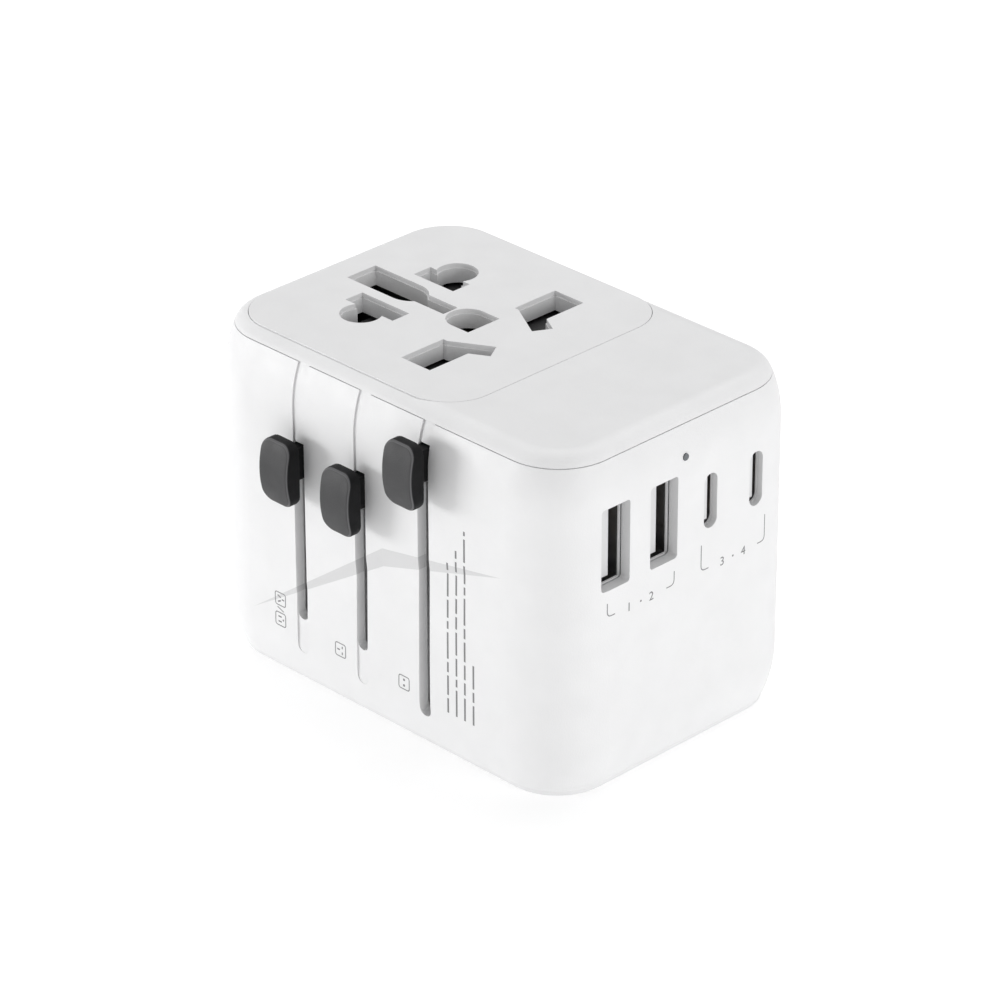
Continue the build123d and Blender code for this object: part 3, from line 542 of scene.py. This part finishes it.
def print_on_housing(name, bm, origin, across, up):
    """Lay flat artwork on the housing and give it the thickness of ink."""
    across, up = Vector(across), Vector(up)
    outward = across.cross(up)
    turn = Matrix((across, up, outward)).transposed().to_4x4()
    bmesh.ops.transform(bm, matrix=Matrix.Translation(origin) @ turn, verts=bm.verts[:])
    for vert in bm.verts:
        start = vert.co + outward * 5 * MM
        hit = HOUSING_SURFACE.ray_cast(start, -outward)[0]
        vert.co = hit + outward * INK_LIFT
    bmesh.ops.remove_doubles(bm, verts=bm.verts[:], dist=0.001 * MM)
    made = bmesh.ops.extrude_face_region(bm, geom=bm.faces[:], use_keep_orig=True)
    moved = [g for g in made["geom"] if isinstance(g, bmesh.types.BMVert)]
    bmesh.ops.translate(bm, vec=-outward * INK_DEPTH, verts=moved)
    return add_piece(name, bm, "housing", INK_FINISH)


def plug_mark(bm, u, kind):
    """Socket pictogram in a rounded square: the pin pattern of one plug type."""
    half = 1.05 * MM
    border = rounded_outline(half, half, 0.35 * MM, 4, 3)
    strip(bm, [(u + x, half + y) for x, y in border], 0.15 * MM, closed=True)

    def pin(x, y, dx, dy):
        ends = ((x - dx, y - dy), (x + dx, y + dy))
        strip(bm, [(u + px * MM, half + py * MM) for px, py in ends], 0.22 * MM)

    if kind == "parallel":
        pin(-0.4, 0.14, 0.0, 0.34)
        pin(0.4, 0.14, 0.0, 0.34)
        dot(bm, (u, half - 0.55 * MM), 0.16 * MM)
    elif kind == "slanted":
        pin(-0.4, 0.24, 0.15, -0.3)
        pin(0.4, 0.24, -0.15, -0.3)
        pin(0.0, -0.53, 0.0, 0.24)
    elif kind == "square":
        pin(-0.48, -0.37, 0.2, 0.0)
        pin(0.48, -0.37, 0.2, 0.0)
        pin(0.0, 0.4, 0.0, 0.28)
    else:
        dot(bm, (u - 0.45 * MM, half), 0.2 * MM)
        dot(bm, (u + 0.45 * MM, half), 0.2 * MM)


def add_slider_marks():
    """Plug pictograms beside the slots, and four rows of plain dashes, all read upwards."""
    base_z = 9.15 * MM
    for name, x, kinds in (
        ("mark_us", -18.7 * MM, ("parallel", "slanted")),
        ("mark_uk", -6.15 * MM, ("square",)),
        ("mark_eu", 6.9 * MM, ("round",)),
    ):
        bm = bmesh.new()
        for i, kind in enumerate(kinds):
            plug_mark(bm, i * 3.3 * MM, kind)
        if len(kinds) == 2:
            strip(bm, [(1.4 * MM, 0.4 * MM), (1.9 * MM, 1.7 * MM)], LINE)
        print_on_housing(name, bm, (x, -30 * MM, base_z), (0, 0, 1), (-1, 0, 0))

    rows = ((15.1, 23.8), (16.8, 26.3), (18.45, 29.9), (20.15, 9.5))
    words = (2.3, 3.1, 1.6, 4.2, 1.2, 2.8, 3.6, 1.9)
    bm = bmesh.new()
    for row, (x, length) in enumerate(rows):
        height = (rows[0][0] - x + 0.35) * MM
        start, i = 0.0, row * 3
        while start < length - 0.6:
            end = min(start + words[i % len(words)], length)
            strip(bm, [(start * MM, height), (end * MM, height)], 0.32 * MM)
            start, i = end + 0.55, i + 1
    print_on_housing("mark_rows", bm, (rows[0][0] * MM, -30 * MM, 8.0 * MM), (0, 0, 1), (-1, 0, 0))


def add_port_marks():
    """Brackets under the two pairs of ports, with plain port numbers."""
    pairs = (
        ("mark_large_ports", (-15.55, 30.1), (-2.4, 30.1), 28.0, ("1", -11.3), ("2", -6.9)),
        ("mark_small_ports", (3.0, 32.0), (15.95, 32.0), 27.95, ("3", 7.3), ("4", 11.6)),
    )
    for name, left, right, low, *digits in pairs:
        bm = bmesh.new()
        for (y, z), way in ((left, 1), (right, -1)):
            line = [(y * MM, z * MM), (y * MM, low * MM), ((y + way * 1.5) * MM, low * MM)]
            strip(bm, smooth_turns(line, 0.8 * MM), LINE)
        middle = (left[0] + right[0]) / 2
        dot(bm, (middle * MM, low * MM), 0.16 * MM)
        for text, y in digits:
            numeral(bm, text, (y * MM, low * MM), 1.35 * MM)
        print_on_housing(name, bm, (40 * MM, 0, 0), (0, 1, 0), (0, 0, 1))


add_slider_marks()
add_port_marks()


# ---------------------------------------------------------------- port contacts
def add_port_contacts():
    """Gilt contacts on the tongues of the four charging ports."""
    for i in (1, 2):
        low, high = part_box(f"large_port_tongue_{i}")
        mid_z = (low[2] + high[2]) / 2
        shell_low, shell_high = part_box(f"large_port_shell_{i}")
        face = (shell_low[1] + shell_high[1]) / 2 + 0.76 * MM
        bm = bmesh.new()
        for z, reach in ((-3.5, 1.4), (-1.0, 2.2), (1.0, 2.2), (3.5, 1.4)):
            z0 = mid_z + (z - 0.5) * MM
            back = (low[0] + 3 * MM, face - 0.05 * MM, z0)
            front = (high[0] - reach * MM, face + 0.12 * MM, z0 + MM)
            bevelled_bar(bm, back, front, 0.05 * MM)
        add_piece(f"large_port_contacts_{i}", bm, "housing", GOLD_FINISH)

        low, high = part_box(f"small_port_tongue_{i}")
        mid_y, mid_z = (low[1] + high[1]) / 2, (low[2] + high[2]) / 2
        bm = bmesh.new()
        for side in (-1, 1):
            outer = mid_y + side * 0.38 * MM
            y0, y1 = sorted((outer, outer - side * 0.08 * MM))
            for k in range(12):
                z0 = mid_z + (k - 5.5) * 0.5 * MM - 0.13 * MM
                back = (low[0] + 1.6 * MM, y0, z0)
                front = (high[0] - 0.6 * MM, y1, z0 + 0.26 * MM)
                bevelled_bar(bm, back, front, 0.02 * MM)
        add_piece(f"small_port_contacts_{i}", bm, "housing", GOLD_FINISH)


add_port_contacts()


# ---------------------------------------------------------------- floor, light and camera
FLOOR_GLOW = 0.26
FLOOR_Z = -0.02 * MM


def add_floor():
    """White floor, open where the base stands and seen through from below."""
    low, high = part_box("base_plate")
    centre_x, centre_y = (low[0] + high[0]) / 2, (low[1] + high[1]) / 2
    half_x, half_y = (high[0] - low[0]) / 2, (high[1] - low[1]) / 2
    bm = bmesh.new()
    rings = []
    for reach, radius in ((-0.5 * MM, 8 * MM), (0.03, 0.04), (0.15, 0.16), (0.6, 0.6), (2.0, 2.0)):
        outline = rounded_outline(half_x + reach, half_y + reach, radius)
        rings.append([bm.verts.new((centre_x + x, centre_y + y, FLOOR_Z)) for x, y in outline])
    bridge(bm, rings)
    bmesh.ops.recalc_face_normals(bm, faces=bm.faces[:])
    if all(face.normal.z < 0 for face in bm.faces):
        bmesh.ops.reverse_faces(bm, faces=bm.faces[:])
    mesh = bpy.data.meshes.new("floor")
    bm.to_mesh(mesh)
    bm.free()
    floor = bpy.data.objects.new("floor", mesh)
    bpy.context.scene.collection.objects.link(floor)
    mat = new_material("floor_finish", (0.96, 0.96, 0.96), 0.8, Emission_Strength=FLOOR_GLOW)
    mat.node_tree.nodes["Principled BSDF"].inputs["Emission Color"].default_value = (1, 1, 1, 1)
    nodes = mat.node_tree.nodes
    clear = add_node(mat, "ShaderNodeBsdfTransparent")
    mix = add_node(mat, "ShaderNodeMixShader")
    link(mat, add_node(mat, "ShaderNodeNewGeometry").outputs["Backfacing"], mix.inputs["Fac"])
    link(mat, nodes["Principled BSDF"].outputs["BSDF"], mix.inputs[1])
    link(mat, clear.outputs["BSDF"], mix.inputs[2])
    link(mat, mix.outputs["Shader"], nodes["Material Output"].inputs["Surface"])
    mesh.materials.append(mat)


def add_area(name, location, size, power):
    """Rectangular softbox aimed at the middle of the object."""
    lamp = bpy.data.lights.new(name, "AREA")
    lamp.shape = "RECTANGLE"
    lamp.size, lamp.size_y = size
    lamp.energy = power
    holder = bpy.data.objects.new(name, lamp)
    holder.location = location
    holder.rotation_mode = "QUATERNION"
    middle = Vector((0, 0, 0.027))
    holder.rotation_quaternion = (middle - Vector(location)).to_track_quat("-Z", "Y")
    bpy.context.scene.collection.objects.link(holder)


def add_lights():
    add_area("slider_light", (-0.50, -0.50, 0.08), (0.30, 0.14), 1.9)
    add_area("end_light", (0.70, 0.00, 0.22), (0.40, 0.30), 1.45)
    add_area("top_light", (-0.15, 0.20, 0.62), (0.60, 0.50), 1.85)
    world = bpy.data.worlds.new("studio")
    world.use_nodes = True
    background = world.node_tree.nodes["Background"]
    background.inputs["Color"].default_value = (1, 1, 1, 1)
    background.inputs["Strength"].default_value = 0.5
    bpy.context.scene.world = world


def add_camera():
    """Long lens, looking down on the corner between the slider face and the charging ports."""
    azimuth, elevation, roll = radians(45.353), radians(28.023), radians(-0.13)
    back = Vector((sin(azimuth) * cos(elevation), -cos(azimuth) * cos(elevation), sin(elevation)))
    level = Vector((cos(azimuth), sin(azimuth), 0))
    upright = back.cross(level)
    right = level * cos(roll) + upright * sin(roll)
    up = upright * cos(roll) - level * sin(roll)
    data = bpy.data.cameras.new("camera")
    data.sensor_width = 36.0
    data.lens = 179.56
    data.clip_start, data.clip_end = 0.01, 10.0
    camera = bpy.data.objects.new("camera", data)
    turn = Matrix((right, up, back)).transposed().to_4x4()
    camera.matrix_world = Matrix.Translation((0.44665, -0.44140, 0.36081)) @ turn
    bpy.context.scene.collection.objects.link(camera)
    bpy.context.scene.camera = camera


add_floor()
add_lights()
add_camera()
bpy.context.scene.view_settings.view_transform = "Standard"
